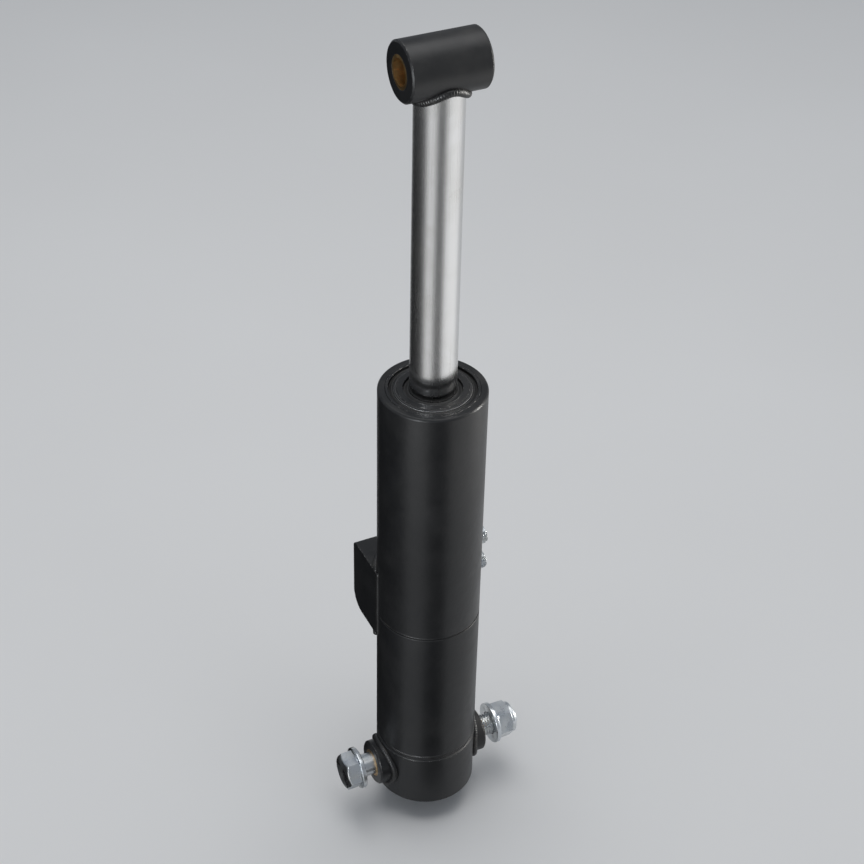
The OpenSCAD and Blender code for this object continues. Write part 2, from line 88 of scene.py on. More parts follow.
WASHER_T = 3 * MM
WASHER_IN = high("pivot_washers", X) - WASHER_T
WASHER_BORE_R = 8.5 * MM
BOLT_R = 8 * MM
BOLT_PITCH = 2 * MM
BOLT_THREAD_DEPTH = 1.15 * MM
BOLT_THREAD_LEN = 46 * MM
BOLT_HEAD_H = 10 * MM
NUT_BORE_R = 8.05 * MM
NUT_HEX_H = 12 * MM
LOCK_SCREW_R = 3 * MM
ROD_STUB_R = 9 * MM
ROD_SHOULDER = low("rod_piston", Z) + 22 * MM
PORT_THREAD_R = 6.58 * MM
PORT_THREAD_PLAY = 0.08 * MM
PORT_PITCH = 1.337 * MM
PIPE_BORE_R = 3 * MM
PORT_SEAL_T = 2 * MM
ADAPTER_ACROSS = 19 * MM
ADAPTER_HEX_H = 9 * MM
WELD_GROOVE = 3.5 * MM
FILLET_R = 2.5 * MM
FILLET_LIFT = 0.7 * MM
SHARP_DEG = 35.0
WELD_SHARP_DEG = 60.0

# ---- camera, at the photograph's viewpoint, aimed at the object ----

CAMERA_AT = Vector((-0.4212, -0.8487, 1.0024))
AIM_AT = Vector((0.0, 0.0, 0.285))
CAMERA_LENS = 78.0
CAMERA_SENSOR = 36.0
CAMERA_ROLL = math.radians(1.3)


def make_camera():
    data = bpy.data.cameras.new("camera")
    data.lens = CAMERA_LENS
    data.sensor_width = CAMERA_SENSOR
    data.clip_start = 0.01
    camera = bpy.data.objects.new("camera", data)
    bpy.context.scene.collection.objects.link(camera)
    turn = (AIM_AT - CAMERA_AT).to_track_quat("-Z", "Y").to_matrix().to_4x4()
    camera.matrix_world = (
        Matrix.Translation(CAMERA_AT) @ turn @ Matrix.Rotation(CAMERA_ROLL, 4, "Z")
    )
    bpy.context.scene.camera = camera


make_camera()
bpy.context.scene.view_settings.view_transform = "Standard"
bpy.context.scene.view_settings.look = "None"

# ---- materials ----


class Shader:
    """A node material being built: each method adds nodes and returns the socket of their result."""

    def __init__(self, name, **constants):
        self.material = bpy.data.materials.new(name)
        self.material.use_nodes = True
        self.tree = self.material.node_tree
        self.bsdf = self.tree.nodes["Principled BSDF"]
        for key, value in constants.items():
            self.bsdf.inputs[key.replace("_", " ")].default_value = value
        self.coords = self.tree.nodes.new("ShaderNodeTexCoord").outputs["Object"]

    def add(self, kind, inputs=(), **settings):
        node = self.tree.nodes.new("ShaderNode" + kind)
        for key, value in settings.items():
            setattr(node, key, value)
        for key, value in dict(inputs).items():
            if isinstance(value, bpy.types.NodeSocket):
                self.tree.links.new(value, node.inputs[key])
            else:
                node.inputs[key].default_value = value
        return node

    def stretched(self, scale):
        """Object coordinates scaled by a different amount along each axis."""
        node = self.add("Mapping", {"Vector": self.coords, "Scale": scale})
        return node.outputs["Vector"]

    def noise(self, scale, detail=3.0, rough=0.5, vector=None, warp=0.0):
        node = self.add(
            "TexNoise",
            {
                "Vector": vector or self.coords,
                "Scale": scale,
                "Detail": detail,
                "Roughness": rough,
                "Distortion": warp,
            },
        )
        return node.outputs["Fac"]

    def cells(self, scale, vector=None):
        node = self.add("TexVoronoi", {"Vector": vector or self.coords, "Scale": scale})
        return node.outputs["Distance"]

    def remap(self, value, from_low, from_high, to_low, to_high):
        node = self.add(
            "MapRange",
            {
                "Value": value,
                "From Min": from_low,
                "From Max": from_high,
                "To Min": to_low,
                "To Max": to_high,
            },
        )
        return node.outputs["Result"]

    def math(self, operation, a, b=0.0):
        return self.add("Math", {0: a, 1: b}, operation=operation).outputs[0]

    def mix(self, fac, a, b):
        """Mixes two colours."""
        node = self.add("Mix", data_type="RGBA")
        for socket, value in ((0, fac), (6, a), (7, b)):
            if isinstance(value, bpy.types.NodeSocket):
                self.tree.links.new(value, node.inputs[socket])
            else:
                node.inputs[socket].default_value = value
        return node.outputs[2]

    def bump(self, height, strength, distance, normal=None):
        inputs = {"Height": height, "Strength": strength, "Distance": distance}
        if normal:
            inputs["Normal"] = normal
        return self.add("Bump", inputs).outputs["Normal"]

    def soft_edges(self, radius):
        """A normal that rounds the sharp edges off."""
        return self.add("Bevel", {"Radius": radius}, samples=6).outputs["Normal"]

    def edges(self, radius):
        """About 1 on the object's sharp edges and 0 on its flat faces."""
        round_normal = self.soft_edges(radius)
        face_normal = self.add("NewGeometry").outputs["Normal"]
        dot = self.add(
            "VectorMath", {0: round_normal, 1: face_normal}, operation="DOT_PRODUCT"
        ).outputs["Value"]
        return self.remap(dot, 0.995, 0.86, 0.0, 1.0)

    def height(self):
        """The point's Z in the object, in metres."""
        return self.add("SeparateXYZ", {0: self.coords}).outputs["Z"]

    def upward(self):
        """1 where the surface faces straight up and 0 where it doesn't."""
        normal = self.add("NewGeometry").outputs["Normal"]
        z = self.add("SeparateXYZ", {0: normal}).outputs["Z"]
        return self.remap(z, 0.3, 1.0, 0.0, 1.0)

    def set(self, **sockets):
        for key, value in sockets.items():
            self.tree.links.new(value, self.bsdf.inputs[key.replace("_", " ")])
        return self.material


def grey(value, alpha=1.0):
    return (value, value, value, alpha)


def black_paint(name, grain, flow, wear, round_off):
    """Semi-gloss black enamel: orange peel, faint dust, smudges and bare metal on worn edges."""
    s = Shader(name, Coat_Weight=0.05, Coat_Roughness=0.2, Specular_IOR_Level=0.38)
    cloud = s.noise(14.0, 4.0)
    fine = s.noise(grain, 2.0)
    ripple = s.noise(flow, 1.0)
    specks = s.remap(s.noise(1900.0, 1.0), 0.74, 0.80, 0.0, 1.0)
    dust_cover = s.remap(s.noise(38.0, 6.0, 0.62), 0.46, 0.75, 0.0, 1.0)
    dust = s.math("MULTIPLY", dust_cover, s.math("ADD", s.math("MULTIPLY", s.upward(), 0.5), 0.10))
    dust = s.math("MAXIMUM", dust, s.math("MULTIPLY", specks, 0.16))
    edge = s.edges(0.9 * MM)
    chips = s.remap(s.noise(420.0, 5.0, 0.7), 0.60 - 0.1 * wear, 0.66 - 0.1 * wear, 0.0, 1.0)
    bare = s.math("MULTIPLY", s.remap(edge, 0.5, 0.9, 0.0, 1.0), chips)
    paint = s.mix(cloud, (0.0042, 0.0044, 0.0048, 1), (0.0078, 0.0081, 0.0089, 1))
    paint = s.mix(s.math("MULTIPLY", dust, 0.4), paint, (0.085, 0.08, 0.073, 1))
    colour = s.mix(bare, paint, (0.32, 0.31, 0.30, 1))
    smudge = s.remap(s.noise(30.0, 5.0, 0.6, warp=0.8), 0.35, 0.7, 0.36, 0.47)
    rough = s.math("ADD", smudge, s.math("MULTIPLY", dust, 0.35))
    normal = s.bump(ripple, 0.10, 1.0 * MM, s.soft_edges(round_off))
    normal = s.bump(fine, 0.16, 0.25 * MM, normal)
    return s.set(
        Base_Color=colour, Roughness=rough, Metallic=s.math("MULTIPLY", bare, 0.9), Normal=normal
    )


def weld_paint():
    """Painted weld metal: blistered ripples, spatter, and hollows between the ripples painted darker as
    painted shade.
    """
    s = Shader("black_paint_weld", Coat_Weight=0.05, Coat_Roughness=0.2, Specular_IOR_Level=0.4)
    lumps = s.noise(260.0, 4.0, 0.6)
    pits = s.remap(s.cells(700.0), 0.0, 0.35, 0.0, 1.0)
    # The low parts of the ripples take the darker colour: painted shade in the hollows.
    colour = s.mix(lumps, (0.005, 0.005, 0.0055, 1), (0.013, 0.0128, 0.0125, 1))
    colour = s.mix(s.remap(s.noise(90.0, 5.0), 0.56, 0.72, 0.0, 0.7), colour, (0.05, 0.045, 0.04, 1))
    normal = s.bump(lumps, 0.35, 0.6 * MM)
    normal = s.bump(pits, 0.2, 0.25 * MM, normal)
    return s.set(Base_Color=colour, Roughness=s.remap(lumps, 0.3, 0.7, 0.28, 0.5), Normal=normal)


def chrome(name, painted_above=None):
    """Hard chrome, ground round its axis, which draws reflections out along it; oily and rubbed."""
    s = Shader(name, Metallic=1.0, Anisotropic=0.94)
    around = s.add("Tangent", direction_type="RADIAL", axis="Z").outputs["Tangent"]
    hoops = s.noise(1.0, 3.0, 0.6, s.stretched((40.0, 40.0, 2600.0)))
    streaks = s.noise(1.0, 4.0, 0.6, s.stretched((700.0, 700.0, 7.0)))
    film = s.noise(26.0, 5.0, 0.6, warp=0.6)
    stain = s.remap(film, 0.45, 0.72, 0.0, 1.0)
    colour = s.mix(stain, (0.65, 0.655, 0.66, 1), (0.60, 0.60, 0.59, 1))
    colour = s.mix(s.remap(streaks, 0.55, 0.75, 0.0, 0.4), colour, (0.46, 0.455, 0.45, 1))
    rough = s.math("ADD", s.remap(stain, 0.0, 1.0, 0.25, 0.28), s.remap(streaks, 0.55, 0.8, 0.0, 0.04))
    normal = s.bump(hoops, 0.06, 0.04 * MM)
    if painted_above is not None:
        paint = s.remap(s.height(), painted_above - 0.25 * MM, painted_above, 0.0, 1.0)
        colour = s.mix(paint, colour, (0.011, 0.0112, 0.012, 1))
        rough = s.math("ADD", rough, s.math("MULTIPLY", paint, 0.15))
        s.set(Metallic=s.math("SUBTRACT", 1.0, paint))
    return s.set(Base_Color=colour, Roughness=rough, Normal=normal, Tangent=around)


def zinc():
    """Bright zinc plate: bluish and straw clouds, dulled spots and tiny crystals."""
    s = Shader("zinc", Metallic=1.0)
    cloud = s.noise(70.0, 4.0, 0.6, warp=0.5)
    colour = s.mix(cloud, (0.56, 0.62, 0.70, 1), (0.74, 0.73, 0.68, 1))
    spots = s.remap(s.noise(240.0, 5.0, 0.65), 0.58, 0.70, 0.0, 0.75)
    colour = s.mix(spots, colour, (0.40, 0.41, 0.42, 1))
    grain = s.noise(2600.0, 2.0)
    worn = s.remap(s.edges(0.5 * MM), 0.2, 0.9, 0.0, 0.6)
    colour = s.mix(worn, colour, (0.86, 0.87, 0.88, 1))
    rough = s.remap(s.noise(120.0, 4.0), 0.3, 0.7, 0.2, 0.42)
    return s.set(Base_Color=colour, Roughness=rough, Normal=s.bump(grain, 0.12, 0.08 * MM))


def turned_steel():
    """Oiled turned steel with fine tool rings."""
    s = Shader("turned_steel", Metallic=1.0)
    rings = s.noise(1.0, 2.0, 0.5, s.stretched((30.0, 30.0, 4200.0)))
    tone = s.noise(60.0, 4.0)
    colour = s.mix(tone, (0.36, 0.355, 0.35, 1), (0.52, 0.515, 0.50, 1))
    rough = s.remap(tone, 0.3, 0.7, 0.24, 0.36)
    return s.set(Base_Color=colour, Roughness=rough, Normal=s.bump(rings, 0.25, 0.08 * MM))


def bronze():
    """Sintered bronze: open pores and darker oil patches."""
    s = Shader("sintered_bronze", Metallic=1.0)
    pores = s.remap(s.cells(1500.0), 0.0, 0.28, 0.0, 1.0)
    tone = s.noise(140.0, 4.0)
    colour = s.mix(tone, (0.36, 0.22, 0.09, 1), (0.56, 0.38, 0.17, 1))
    colour = s.mix(pores, (0.12, 0.07, 0.03, 1), colour)
    return s.set(
        Base_Color=colour,
        Roughness=s.remap(tone, 0.3, 0.7, 0.3, 0.5),
        Normal=s.bump(pores, 0.4, 0.1 * MM),
    )


def rubber():
    """Nitrile rubber with a faint bloom and flow marks."""
    s = Shader("nitrile_rubber")
    tone = s.noise(180.0, 4.0)
    colour = s.mix(tone, (0.009, 0.009, 0.009, 1), (0.022, 0.0215, 0.021, 1))
    grain = s.noise(1800.0, 2.0)
    return s.set(
        Base_Color=colour,
        Roughness=s.remap(tone, 0.3, 0.7, 0.5, 0.68),
        Normal=s.bump(grain, 0.2, 0.1 * MM),
    )


def plastic(name, dark, light, rough_low, rough_high):
    """Moulded or cast plastic with slight mottling."""
    s = Shader(name)
    tone = s.noise(150.0, 4.0)
    grain = s.noise(1400.0, 3.0)
    return s.set(
        Base_Color=s.mix(tone, dark, light),
        Roughness=s.remap(tone, 0.3, 0.7, rough_low, rough_high),
        Normal=s.bump(grain, 0.15, 0.1 * MM),
    )


def floor_material():
    s = Shader("pale_floor", Specular_IOR_Level=0.0, Roughness=1.0)
    tone = s.noise(2.2, 5.0)
    colour = s.mix(tone, (0.78, 0.775, 0.765, 1), (0.84, 0.838, 0.83, 1))
    grain = s.noise(160.0, 4.0)
    return s.set(Base_Color=colour, Normal=s.bump(grain, 0.04, 0.4 * MM))


PAINT = black_paint("black_paint", grain=520.0, flow=130.0, wear=0.2, round_off=0.5 * MM)
PAINT_ROUGH = black_paint("black_paint_cast", grain=300.0, flow=90.0, wear=0.7, round_off=0.9 * MM)
WELD = weld_paint()
CHROME = chrome("hard_chrome")
CHROME_SLEEVE = chrome("hard_chrome_sleeve", painted_above=SLEEVE_TOP - 0.6 * MM)
ZINC = zinc()
STEEL = turned_steel()
BRONZE = bronze()
RUBBER = rubber()
SEAL = plastic("polyurethane", (0.06, 0.16, 0.12, 1), (0.10, 0.22, 0.16, 1), 0.3, 0.42)
GUIDE = plastic("guide_tape", (0.30, 0.19, 0.08, 1), (0.42, 0.27, 0.12, 1), 0.42, 0.55)
NYLON = plastic("nylon", (0.05, 0.13, 0.36, 1), (0.08, 0.18, 0.46, 1), 0.32, 0.45)

SLOT_MATERIAL = {
    "black_paint": PAINT,
    "black_paint_cast": PAINT_ROUGH,
    "chrome": CHROME,
    "zinc": ZINC,
    "steel": STEEL,
    "bronze": BRONZE,
    "rubber": RUBBER,
    "seal_plastic": SEAL,
    "guide_plastic": GUIDE,
    "nylon": NYLON,
}
NODE_SLOT = {p["node"]: p["material_slot"] for p in frame["record"]["subparts"]}
NODE_BODY = {
    node: body
    for body, nodes in frame["record"]["behaviour"]["bodies"].items()
    for node in nodes
}

# ---- mesh tools ----


def piece(name, vertices, faces, node, material=None, sharp=SHARP_DEG):
    """A new piece that rides on the body of a CAD node and takes that node's material slot."""
    mesh = bpy.data.meshes.new(name)
    mesh.from_pydata([tuple(v) for v in vertices], [], faces)
    mesh.validate()
    mesh.shade_smooth()
    mesh.set_sharp_from_angle(angle=math.radians(sharp))
    obj = bpy.data.objects.new(name, mesh)
    bpy.context.scene.collection.objects.link(obj)
    slot = NODE_SLOT[node]
    mesh.materials.append(material or SLOT_MATERIAL[slot])
    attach(obj, NODE_BODY[node])
    return obj


def stand_for(obj, *nodes):
    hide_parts(*nodes)
    return obj


def join_shapes(*shapes):
    """One (vertices, faces) pair out of several."""
    vertices, faces = [], []
    for shape_vertices, shape_faces in shapes:
        start = len(vertices)
        vertices += shape_vertices
        faces += [[start + i for i in face] for face in shape_faces]
    return vertices, faces


def placed(shape, turn, at=(0, 0, 0)):
    """A shape turned by a matrix and moved."""
    vertices, faces = shape
    return [turn @ Vector(v) + Vector(at) for v in vertices], faces


ALONG_X = Matrix.Rotation(math.radians(90), 3, "Y")
AGAINST_X = Matrix.Rotation(math.radians(-90), 3, "Y")
ALONG_Y = Matrix.Rotation(math.radians(-90), 3, "X")


def rounded(outline, radius, steps=4):
    """A closed outline of (r, h) points with each corner turned into a short curve.

    A point's third value is a radius of its own, and 0 keeps its corner sharp.
    """
    result = []
    count = len(outline)
    for i, point in enumerate(outline):
        p = Vector(point[:2])
        before = Vector(outline[i - 1][:2]) - p
        after = Vector(outline[(i + 1) % count][:2]) - p
        own = point[2] if len(point) > 2 else radius
        reach = min(own, before.length * 0.45, after.length * 0.45)
        if reach < 1e-6:
            result.append(tuple(p))
            continue
        start = p + before.normalized() * reach
        end = p + after.normalized() * reach
        for k in range(steps + 1):
            t = k / steps
            q = start * (1 - t) ** 2 + p * 2 * t * (1 - t) + end * t**2
            result.append(tuple(q))
    return result


def lathe(outline, segments=128):
    """Turns a closed outline of (r, h) points about Z. Points on the axis become one vertex."""
    vertices, rings, faces = [], [], []
    for r, h in outline:
        if r < 1e-7:
            rings.append([len(vertices)] * segments)
            vertices.append(Vector((0, 0, h)))
        else:
            rings.append(list(range(len(vertices), len(vertices) + segments)))
            for k in range(segments):
                a = 2 * math.pi * k / segments
                vertices.append(Vector((r * math.cos(a), r * math.sin(a), h)))
    for i in range(len(rings)):
        one, two = rings[i], rings[(i + 1) % len(rings)]
        for k in range(segments):
            nxt = (k + 1) % segments
            corners = [one[k], one[nxt], two[nxt], two[k]]
            face = [c for j, c in enumerate(corners) if c != corners[j - 1]]
            if len(set(face)) > 2:
                faces.append(face)
    return vertices, faces


def hexagon(across, bottom, top, bore, washer_face=0.0, both=False, segments=144):
    """A hexagon along Z whose corners are turned off at 30 degrees at the top, or at both ends."""
    flat = across / 2
    rim = flat * 0.95
    edge = 0.25 * MM
    slope = math.tan(math.radians(30))

    def reach(angle):
        return flat / math.cos((angle + math.pi / 6) % (math.pi / 3) - math.pi / 6)

    rings = []

    def ring(radius, height):
        row = []
        for k in range(segments):
            a = 2 * math.pi * k / segments
            r, z = radius(a), height(a)
            row.append(Vector((r * math.cos(a), r * math.sin(a), z)))
        rings.append(row)

    def constant(value):
        return lambda a: value

    def side(inset):
        return lambda a: reach(a) - inset

    def drop(a):
        return max(0.0, reach(a) - rim) * slope

    ring(constant(bore), constant(bottom - washer_face))
    if washer_face:
        ring(constant(rim), constant(bottom - washer_face))
        ring(constant(rim), constant(bottom))
    elif both:
        ring(constant(rim), constant(bottom))
    if both:
        ring(side(edge), lambda a: bottom + drop(a) * 0.96)
        ring(side(0.0), lambda a: bottom + drop(a) + edge)
    else:
        ring(side(edge), constant(bottom))
        ring(side(0.0), constant(bottom + edge))
    ring(side(0.0), lambda a: top - drop(a) - edge)
    ring(side(edge), lambda a: top - drop(a) * 0.96)
    ring(constant(rim), constant(top))
    ring(constant(bore), constant(top))
    vertices = [v for row in rings for v in row]
    faces = []
    for i in range(len(rings)):
        j = (i + 1) % len(rings)
        if bore < 1e-7 and j == 0:
            continue
        for k in range(segments):
            n = (k + 1) % segments
            faces.append([i * segments + k, i * segments + n, j * segments + n, j * segments + k])
    return vertices, faces


def thread(radius, bottom, top, pitch, depth, hole=(), segments=72, steps=10):
    """A bar along Z with a real helical thread that fades out at both ends.

    hole is the line of (r, h) points of a bore through it, from its top to its bottom.
    """
    steepness, run_out, lead_in = 1.25, 0.9, 0.15
    rows = max(2, round((top - bottom) / pitch * steps))
    vertices, faces = [], []

    def connect(a, b):
        for k in range(segments):
            n = (k + 1) % segments
            faces.append([a + k, a + n, b + n, b + k])

    for i in range(rows + 1):
        z = bottom + (top - bottom) * i / rows
        fade = min(1.0, (top - z) / pitch, (z - bottom) / pitch + lead_in)
        for k in range(segments):
            turn = k / segments
            phase = ((z - bottom) / pitch - turn) % 1.0
            groove = max(0.0, 1.0 - abs(phase - 0.5) * 2 * steepness)
            r = radius - depth * groove - depth * (1.0 - max(0.0, fade)) * run_out
            angle = 2 * math.pi * turn
            vertices.append(Vector((r * math.cos(angle), r * math.sin(angle), z)))
        if i:
            connect((i - 1) * segments, i * segments)
    last = rows * segments
    if not hole:
        faces.append([last + k for k in range(segments)])
        faces.append([segments - 1 - k for k in range(segments)])
        return vertices, faces
    for r, h in hole:
        for k in range(segments):
            angle = 2 * math.pi * k / segments
            vertices.append(Vector((r * math.cos(angle), r * math.sin(angle), h)))
        connect(last, len(vertices) - segments)
        last = len(vertices) - segments
    connect(last, 0)
    return vertices, faces


def bead(path, radius, closed, seed=0, pitch=1.5 * MM, segments=14):
    """A weld bead swept along a dense path, with overlapping ripples and small uneven swells."""
    off_axis = Vector((0.31, 0.57, 0.76))
    long_swell, short_swell = 7.3 * MM, 3.1 * MM
    count = len(path)
    lengths = [0.0]
    for i in range(1, count):
        lengths.append(lengths[-1] + (path[i] - path[i - 1]).length)
    vertices, faces = [], []
    for i, p in enumerate(path):
        before = path[i - 1] if (closed or i > 0) else p
        after = path[(i + 1) % count] if (closed or i < count - 1) else p
        along = (after - before).normalized()
        side = along.cross(off_axis).normalized()
        over = along.cross(side)
        s = lengths[i]
        wave = (s / pitch + seed * 0.37) % 1.0
        swell = math.sin(s / long_swell + seed) * 0.05 + math.sin(s / short_swell + seed * 2) * 0.03
        r = radius * (0.93 + 0.10 * wave + swell)
        if not closed:
            end = min(s, lengths[-1] - s) / radius
            r *= math.sqrt(max(0.0, 1 - (1 - min(1.0, end)) ** 2)) * 0.98 + 0.02
        for k in range(segments):
            a = 2 * math.pi * k / segments
            vertices.append(p + side * (r * math.cos(a)) + over * (r * math.sin(a)))
    spans = count if closed else count - 1
    for i in range(spans):
        j = (i + 1) % count
        for k in range(segments):
            n = (k + 1) % segments
            faces.append([i * segments + k, i * segments + n, j * segments + n, j * segments + k])
    if not closed:
        faces.append([segments - 1 - k for k in range(segments)])
        faces.append([(count - 1) * segments + k for k in range(segments)])
    return vertices, faces


def along(start, end, step=0.25 * MM):
    """Points on a straight line."""
    count = max(2, round((end - start).length / step))
    return [start.lerp(end, i / count) for i in range(count + 1)]


def apply_modifiers(obj):
    """Bakes the modifiers into the mesh."""
    graph = bpy.context.evaluated_depsgraph_get()
    mesh = bpy.data.meshes.new_from_object(obj.evaluated_get(graph))
    obj.modifiers.clear()
    mesh.shade_smooth()
    mesh.set_sharp_from_angle(angle=math.radians(SHARP_DEG))
    obj.data = mesh


def cut_away(obj, shape):
    """Cuts a closed shape out of an object."""
    vertices, faces = shape
    mesh = bpy.data.meshes.new("cutter")
    mesh.from_pydata([tuple(v) for v in vertices], [], faces)
    tool = bpy.data.objects.new("cutter", mesh)
    bpy.context.scene.collection.objects.link(tool)
    cut = obj.modifiers.new("cut", "BOOLEAN")
    cut.operation = "DIFFERENCE"
    cut.solver = "EXACT"
    cut.object = tool
    apply_modifiers(obj)
    bpy.data.objects.remove(tool)


def drill_for(obj, node, radius):
    """Cuts a round hole along +Y where a CAD screw stands in a wall."""
    lowest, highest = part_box(node)
    centre = (lowest + highest) / 2
    reach = 6 * MM
    drill = lathe([(0, -reach), (radius, -reach), (radius, reach), (0, reach)], 48)
    cut_away(obj, placed(drill, ALONG_Y, centre + Vector((0, reach / 2, 0))))


# ---- CAD nodes take their materials ----

for node_name, obj in NODES.items():
    obj.data.materials.clear()
    obj.data.materials.append(SLOT_MATERIAL[NODE_SLOT[node_name]])
    for polygon in obj.data.polygons:
        polygon.material_index = 0

# ---- barrel ----


def make_barrel():
    rim = 1.2 * MM
    upper = rounded(
        [
            (BORE_R, SEAM_Z, 0), (BARREL_R - WELD_GROOVE, SEAM_Z, 0),
            (BARREL_R, SEAM_Z + 1 * MM, 0.4 * MM), (BARREL_R, BARREL_TOP - rim, 0.5 * MM),
            (BARREL_R - rim, BARREL_TOP, 0.5 * MM), (BORE_R + 0.3 * MM, BARREL_TOP, 0.3 * MM),
            (BORE_R, BARREL_TOP - 0.4 * MM, 0),
        ],
        0.3 * MM,
    )
    barrel = piece("barrel_tube_turned", *lathe(upper, 192), "barrel_tube")
    drill_for(barrel, "head_lock_screw", LOCK_SCREW_R)
    stand_for(barrel, "barrel_tube")
    lower = rounded(
        [
            (BORE_R, BASE_JOINT, 0), (BARREL_R - WELD_GROOVE, BASE_JOINT, 0),
            (BARREL_R, BASE_JOINT + 2.5 * MM, 0.5 * MM), (BARREL_R, SEAM_Z - 1 * MM, 0.4 * MM),
            (BARREL_R - WELD_GROOVE, SEAM_Z, 0), (BORE_R, SEAM_Z, 0),
        ],
        0.3 * MM,
    )
    stand_for(piece("base_tube_turned", *lathe(lower, 192), "base_tube"), "base_tube")


make_barrel()


def ring_bead(node, radius_at, z, bead_r, seed, squeeze):
    """A rippled bead that fills a weld groove round the barrel. squeeze scales its height."""
    steps = 900
    turns = [2 * math.pi * i / steps for i in range(steps)]
    path = [Vector((radius_at * math.cos(a), radius_at * math.sin(a), z)) for a in turns]
    vertices, faces = bead(path, bead_r, True, seed, pitch=1.3 * MM)
    vertices = [Vector((v.x, v.y, z + (v.z - z) * squeeze)) for v in vertices]
    stand_for(piece(node + "_bead", vertices, faces, node, WELD, WELD_SHARP_DEG), node)


ring_bead("seam_weld", BARREL_R - 1.55 * MM, SEAM_Z, 1.15 * MM, 1, 0.75)
ring_bead("base_weld", BARREL_R - 2.2 * MM, BASE_JOINT, 1.9 * MM, 2, 1.25)


def saddle(z_radius, x_radius, side, gap, steps=420):
    """The line where a cylinder about X meets one about Z, moved a little off both surfaces."""
    points = []
    for i in range(steps):
        a = 2 * math.pi * i / steps
        y, z = (x_radius + gap) * math.cos(a), (x_radius + gap) * math.sin(a)
        x = math.sqrt(max(0.0, (z_radius + gap) ** 2 - y**2))
        points.append(Vector((side * x, y, z)))
    return points


def make_pivot_welds():
    shapes = []
    for side in (-1, 1):
        shapes.append(bead(saddle(BARREL_R, TUBE_R, side, FILLET_LIFT), FILLET_R, True, 3 + side))
    beads = piece(
        "pivot_tube_beads", *join_shapes(*shapes), "pivot_tube_welds", WELD, WELD_SHARP_DEG
    )
    stand_for(beads, "pivot_tube_welds")


make_pivot_welds()


def make_block_welds():
    """Beads down both front edges of the block, and over and under it against the barrel."""
    front = BLOCK_LOW.y
    edge_x = math.sqrt(BARREL_R**2 - front**2)
    shapes = []
    for side in (-1, 1):
        start = Vector((side * (edge_x + 0.1 * MM), front - 1.0 * MM, BLOCK_LOW.z + 1 * MM))
        end = start.copy()
        end.z = BLOCK_HIGH.z + 1.0 * MM
        shapes.append(bead(along(start, end), 2.0 * MM, False, 5 + side))
    for z, sign in ((BLOCK_HIGH.z, 1), (BLOCK_LOW.z, -1)):
        first = math.asin((front + 1 * MM) / BARREL_R)
        steps = 380
        r = BARREL_R + FILLET_LIFT
        arc = []
        for i in range(steps + 1):
            a = first + (math.pi - 2 * first) * i / steps
            arc.append(Vector((r * math.cos(a), r * math.sin(a), z + sign * 0.6 * MM)))
        shapes.append(bead(arc, 2.1 * MM, False, 8 + sign))
    beads = piece("port_block_beads", *join_shapes(*shapes), "port_block_weld", WELD, WELD_SHARP_DEG)
    stand_for(beads, "port_block_weld")


make_block_welds()

# ---- head, seals and sleeve, as seen at the barrel's mouth ----


def wiper_outline(inner, outer, bottom, top):
    """The section of a wiper: a flat ring with a lip that leans in on what slides through it."""
    return rounded(
        [
            (inner + 1.0 * MM, bottom), (outer, bottom), (outer, top - 1.4 * MM, 0.5 * MM),
            (inner + 2.3 * MM, top - 1.3 * MM, 0.5 * MM), (inner + 0.75 * MM, top, 0.3 * MM),
            (inner, top - 0.5 * MM, 0.25 * MM), (inner + 1.0 * MM, top - 4.0 * MM),
        ],
        0.3 * MM,
    )


def make_wiper(node, slide_r):
    lowest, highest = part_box(node)
    outline = wiper_outline(slide_r + 0.05 * MM, highest.x, lowest.z, highest.z)
    stand_for(piece(node + "_moulded", *lathe(outline, 160), node), node)


make_wiper("head_wiper", SLEEVE_R)
make_wiper("sleeve_wiper", ROD_R)


def make_sleeve():
    rim = 0.8 * MM
    outline = rounded(
        [
            (SLEEVE_BORE_R, SLEEVE_LOW), (SLEEVE_R, SLEEVE_LOW),
            (SLEEVE_R, SLEEVE_TOP - rim, 0.4 * MM), (SLEEVE_R - rim, SLEEVE_TOP, 0.4 * MM),
            (SLEEVE_BORE_R + 0.25 * MM, SLEEVE_TOP, 0.2 * MM), (SLEEVE_BORE_R, SLEEVE_TOP - 0.3 * MM, 0),
        ],
        0.2 * MM,
    )
    tube = piece("sleeve_outer_tube_ground", *lathe(outline, 192), "sleeve_outer_tube", CHROME_SLEEVE)
    stand_for(tube, "sleeve_outer_tube")


make_sleeve()

# ---- rod, eye and their weld ----


def make_rod():
    """The rod with its thinner stub for the piston, cut to the round of the eye at its top."""
    lowest = low("rod", Z)
    outline = rounded(
        [
            (0, lowest, 0), (ROD_STUB_R - 0.8 * MM, lowest), (ROD_STUB_R, lowest + 1 * MM),
            (ROD_STUB_R, ROD_SHOULDER), (ROD_R, ROD_SHOULDER, 0.5 * MM), (ROD_R, EYE_Z, 0), (0, EYE_Z, 0),
        ],
        0.2 * MM,
    )
    rod = piece("rod_ground", *lathe(outline, 160), "rod")
    half = 2 * ROD_R
    eye = lathe([(0, -half), (EYE_R, -half), (EYE_R, half), (0, half)], 192)
    cut_away(rod, placed(eye, ALONG_X, (0, 0, EYE_Z)))
    stand_for(rod, "rod")


make_rod()


def make_eye_weld():
    """A bead along the line where the rod meets the underside of the eye."""
    steps = 420
    rod_r, eye_r = ROD_R + FILLET_LIFT, EYE_R + FILLET_LIFT
    points = []
    for i in range(steps):
        a = 2 * math.pi * i / steps
        x, y = rod_r * math.cos(a), rod_r * math.sin(a)
        points.append(Vector((x, y, EYE_Z - math.sqrt(max(0.0, eye_r**2 - y**2)))))
    shape = bead(points, FILLET_R, True, 11)
    stand_for(piece("rod_eye_bead", *shape, "rod_eye_weld", WELD, WELD_SHARP_DEG), "rod_eye_weld")


make_eye_weld()

# ---- fasteners and fittings ----


